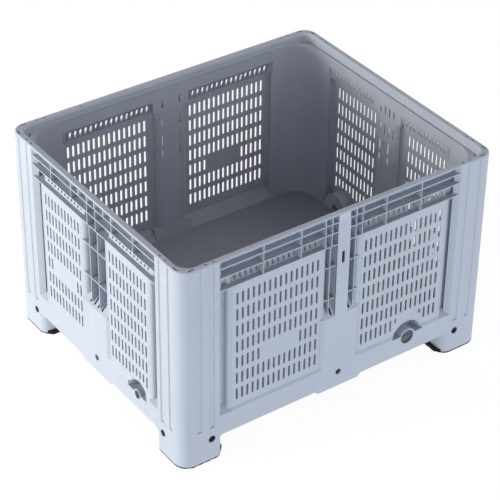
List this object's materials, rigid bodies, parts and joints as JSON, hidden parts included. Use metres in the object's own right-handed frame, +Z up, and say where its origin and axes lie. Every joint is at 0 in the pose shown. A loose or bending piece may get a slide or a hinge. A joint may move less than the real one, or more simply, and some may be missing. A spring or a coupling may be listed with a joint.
{
  "type": "plastic pallet box",
  "caption": "Open-topped plastic pallet box with slotted walls, ribbed upper band, grooved corner posts ending in soled legs, and drain spouts with pull-out bungs.",
  "frame": {"origin": "on the ground under the middle of the box", "axes": "+X along the long walls, +Y from the front wall to the rear wall, +Z up"},
  "size_m": [1.2, 1, 0.75],
  "materials": {
    "moulded_shell": "fine moulded grain, light blue-grey",
    "black_sole": "dull black",
    "drain_bung": "dark grey, satin",
    "drain_seal": "matte black"
  },
  "bodies": {
    "box": {"base": "moulded_shell", "front_wall": "moulded_shell", "rear_wall": "moulded_shell", "left_wall": "moulded_shell", "right_wall": "moulded_shell", "corner_post_front_left": "moulded_shell", "corner_post_front_right": "moulded_shell", "corner_post_rear_right": "moulded_shell", "corner_post_rear_left": "moulded_shell", "top_rim": "moulded_shell", "foot_sole_front_left": "black_sole", "foot_sole_front_right": "black_sole", "foot_sole_rear_right": "black_sole", "foot_sole_rear_left": "black_sole"},
    "front_bung": {"drain_plug_front": "drain_bung", "drain_seal_front": "drain_seal"},
    "rear_bung": {"drain_plug_rear": "drain_bung", "drain_seal_rear": "drain_seal"},
    "left_bung": {"drain_plug_left": "drain_bung", "drain_seal_left": "drain_seal"},
    "right_bung": {"drain_plug_right": "drain_bung", "drain_seal_right": "drain_seal"}
  },
  "joints": [
    {"name": "front_bung_pull", "type": "slide", "parent": "box", "child": "front_bung", "axis": [0, -1, 0], "range_m": [0, 0.05]},
    {"name": "rear_bung_pull", "type": "slide", "parent": "box", "child": "rear_bung", "axis": [0, 1, 0], "range_m": [0, 0.05]},
    {"name": "left_bung_pull", "type": "slide", "parent": "box", "child": "left_bung", "axis": [-1, 0, 0], "range_m": [0, 0.05]},
    {"name": "right_bung_pull", "type": "slide", "parent": "box", "child": "right_bung", "axis": [1, 0, 0], "range_m": [0, 0.05]}
  ]
}
